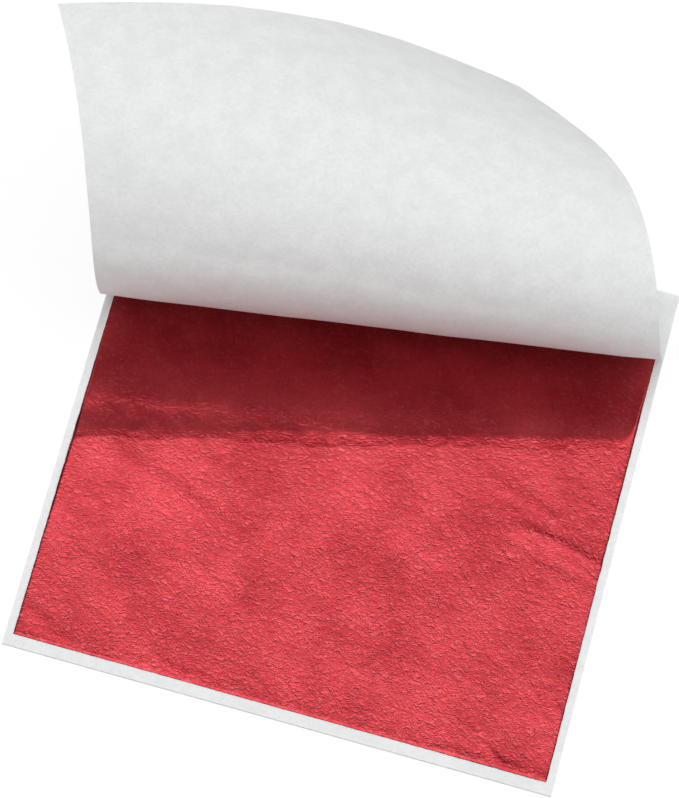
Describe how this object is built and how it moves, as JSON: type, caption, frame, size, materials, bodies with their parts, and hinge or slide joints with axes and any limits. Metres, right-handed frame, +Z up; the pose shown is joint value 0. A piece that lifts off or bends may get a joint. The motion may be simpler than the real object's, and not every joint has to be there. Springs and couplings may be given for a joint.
{
  "type": "metal leaf booklet",
  "caption": "Booklet of square metal leaves laid loose between thin tissue pages that are gummed along one edge, its top page turned back to bare the top leaf.",
  "frame": {"origin": "middle of the underside of the bottom page, where the booklet lies on a table", "axes": "+X to the right along the near edge, +Y to the gummed far edge, +Z up out of the pages"},
  "size_m": [0.1743, 0.1978, 0.0729],
  "materials": {
    "tissue": "matte, thin enough to let light through",
    "leaf": "red mirror foil, finely crinkled",
    "gum": "dried gum"
  },
  "bodies": {
    "block": {"page_1": "tissue", "page_2": "tissue", "page_3": "tissue", "page_4": "tissue", "page_5": "tissue", "gum_line_1": "gum", "gum_line_2": "gum", "gum_line_3": "gum", "gum_line_4": "gum", "gum_line_5": "gum", "top_page_bound": "tissue"},
    "leaf_1": {"leaf_1": "leaf"},
    "leaf_2": {"leaf_2": "leaf"},
    "leaf_3": {"leaf_3": "leaf"},
    "leaf_4": {"leaf_4": "leaf"},
    "leaf_5": {"leaf_5": "leaf"},
    "top_page_01": {"top_page_strip_01": "tissue"},
    "top_page_02": {"top_page_strip_02": "tissue"},
    "top_page_03": {"top_page_strip_03": "tissue"},
    "top_page_04": {"top_page_strip_04": "tissue"},
    "top_page_05": {"top_page_strip_05": "tissue"},
    "top_page_06": {"top_page_strip_06": "tissue"},
    "top_page_07": {"top_page_strip_07": "tissue"},
    "top_page_08": {"top_page_strip_08": "tissue"},
    "top_page_09": {"top_page_strip_09": "tissue"},
    "top_page_10": {"top_page_strip_10": "tissue"},
    "top_page_11": {"top_page_strip_11": "tissue"},
    "top_page_12": {"top_page_strip_12": "tissue"},
    "top_page_13": {"top_page_strip_13": "tissue"},
    "top_page_14": {"top_page_strip_14": "tissue"}
  },
  "joints": [
    {"name": "leaf_1_draw", "type": "slide", "parent": "block", "child": "leaf_1", "axis": [0, -1, 0], "range_m": [0, 0.155]},
    {"name": "leaf_2_draw", "type": "slide", "parent": "block", "child": "leaf_2", "axis": [0, -1, 0], "range_m": [0, 0.155]},
    {"name": "leaf_3_draw", "type": "slide", "parent": "block", "child": "leaf_3", "axis": [0, -1, 0], "range_m": [0, 0.155]},
    {"name": "leaf_4_draw", "type": "slide", "parent": "block", "child": "leaf_4", "axis": [0, -1, 0], "range_m": [0, 0.155]},
    {"name": "leaf_5_draw", "type": "slide", "parent": "block", "child": "leaf_5", "axis": [0, -1, 0], "range_m": [0, 0.155]},
    {"name": "page_bend_01", "type": "hinge", "parent": "block", "child": "top_page_01", "pos_m": [0, 0.056, 0.00045], "axis": [0.9765, 0.2153, 0], "range_deg": [0, 6.46]},
    {"name": "page_bend_02", "type": "hinge", "parent": "top_page_01", "child": "top_page_02", "pos_m": [-0.00001, 0.05173, 0.00092], "axis": [0.9819, 0.1893, 0.003], "range_deg": [0, 11.05]},
    {"name": "page_bend_03", "type": "hinge", "parent": "top_page_02", "child": "top_page_03", "pos_m": [-0.00006, 0.04637, 0.00258], "axis": [0.9844, 0.1759, 0.0073], "range_deg": [0, 14.85]},
    {"name": "page_bend_04", "type": "hinge", "parent": "top_page_03", "child": "top_page_04", "pos_m": [-0.00027, 0.04046, 0.00623], "axis": [0.9846, 0.1746, 0.0081], "range_deg": [0, 17.88]},
    {"name": "page_bend_05", "type": "hinge", "parent": "top_page_04", "child": "top_page_05", "pos_m": [-0.00082, 0.03506, 0.01248], "axis": [0.9834, 0.1817, -0.0005], "range_deg": [0, 20.13]},
    {"name": "page_bend_06", "type": "hinge", "parent": "top_page_05", "child": "top_page_06", "pos_m": [-0.00198, 0.03162, 0.02138], "axis": [0.9816, 0.1895, -0.0229], "range_deg": [0, 21.59]},
    {"name": "page_unroll", "type": "hinge", "parent": "top_page_06", "child": "top_page_07", "pos_m": [-0.00404, 0.03159, 0.03212], "axis": [0.9804, 0.188, -0.0588], "range_deg": [0, 22.27]},
    {"name": "page_bend_08", "type": "hinge", "parent": "top_page_07", "child": "top_page_08", "pos_m": [-0.00726, 0.03595, 0.04313], "axis": [0.9805, 0.1682, -0.1019], "range_deg": [0, 22.18]},
    {"name": "page_bend_09", "type": "hinge", "parent": "top_page_08", "child": "top_page_09", "pos_m": [-0.0118, 0.04475, 0.05245], "axis": [0.9819, 0.126, -0.1413], "range_deg": [0, 21.3]},
    {"name": "page_bend_10", "type": "hinge", "parent": "top_page_09", "child": "top_page_10", "pos_m": [-0.01776, 0.0571, 0.05835], "axis": [0.9841, 0.0641, -0.1656], "range_deg": [0, 19.64]},
    {"name": "page_bend_11", "type": "hinge", "parent": "top_page_10", "child": "top_page_11", "pos_m": [-0.02513, 0.0715, 0.05989], "axis": [0.9859, -0.009, -0.1673], "range_deg": [0, 17.19]},
    {"name": "page_bend_12", "type": "hinge", "parent": "top_page_11", "child": "top_page_12", "pos_m": [-0.03389, 0.08649, 0.05702], "axis": [0.9858, -0.0831, -0.1456], "range_deg": [0, 13.97]},
    {"name": "page_bend_13", "type": "hinge", "parent": "top_page_12", "child": "top_page_13", "pos_m": [-0.04395, 0.10109, 0.05041], "axis": [0.983, -0.1507, -0.1053], "range_deg": [0, 9.96]},
    {"name": "page_bend_14", "type": "hinge", "parent": "top_page_13", "child": "top_page_14", "pos_m": [-0.0552, 0.11511, 0.0411], "axis": [0.9765, -0.2089, -0.054], "range_deg": [0, 5.18]}
  ],
  "couplings": [
    {"joint": "page_bend_01", "follows": "page_unroll", "ratio": 0.28985},
    {"joint": "page_bend_02", "follows": "page_unroll", "ratio": 0.49591},
    {"joint": "page_bend_03", "follows": "page_unroll", "ratio": 0.66689},
    {"joint": "page_bend_04", "follows": "page_unroll", "ratio": 0.80278},
    {"joint": "page_bend_05", "follows": "page_unroll", "ratio": 0.9036},
    {"joint": "page_bend_06", "follows": "page_unroll", "ratio": 0.96934},
    {"joint": "page_bend_08", "follows": "page_unroll", "ratio": 0.99558},
    {"joint": "page_bend_09", "follows": "page_unroll", "ratio": 0.95608},
    {"joint": "page_bend_10", "follows": "page_unroll", "ratio": 0.8815},
    {"joint": "page_bend_11", "follows": "page_unroll", "ratio": 0.77184},
    {"joint": "page_bend_12", "follows": "page_unroll", "ratio": 0.62711},
    {"joint": "page_bend_13", "follows": "page_unroll", "ratio": 0.44729},
    {"joint": "page_bend_14", "follows": "page_unroll", "ratio": 0.23239}
  ]
}
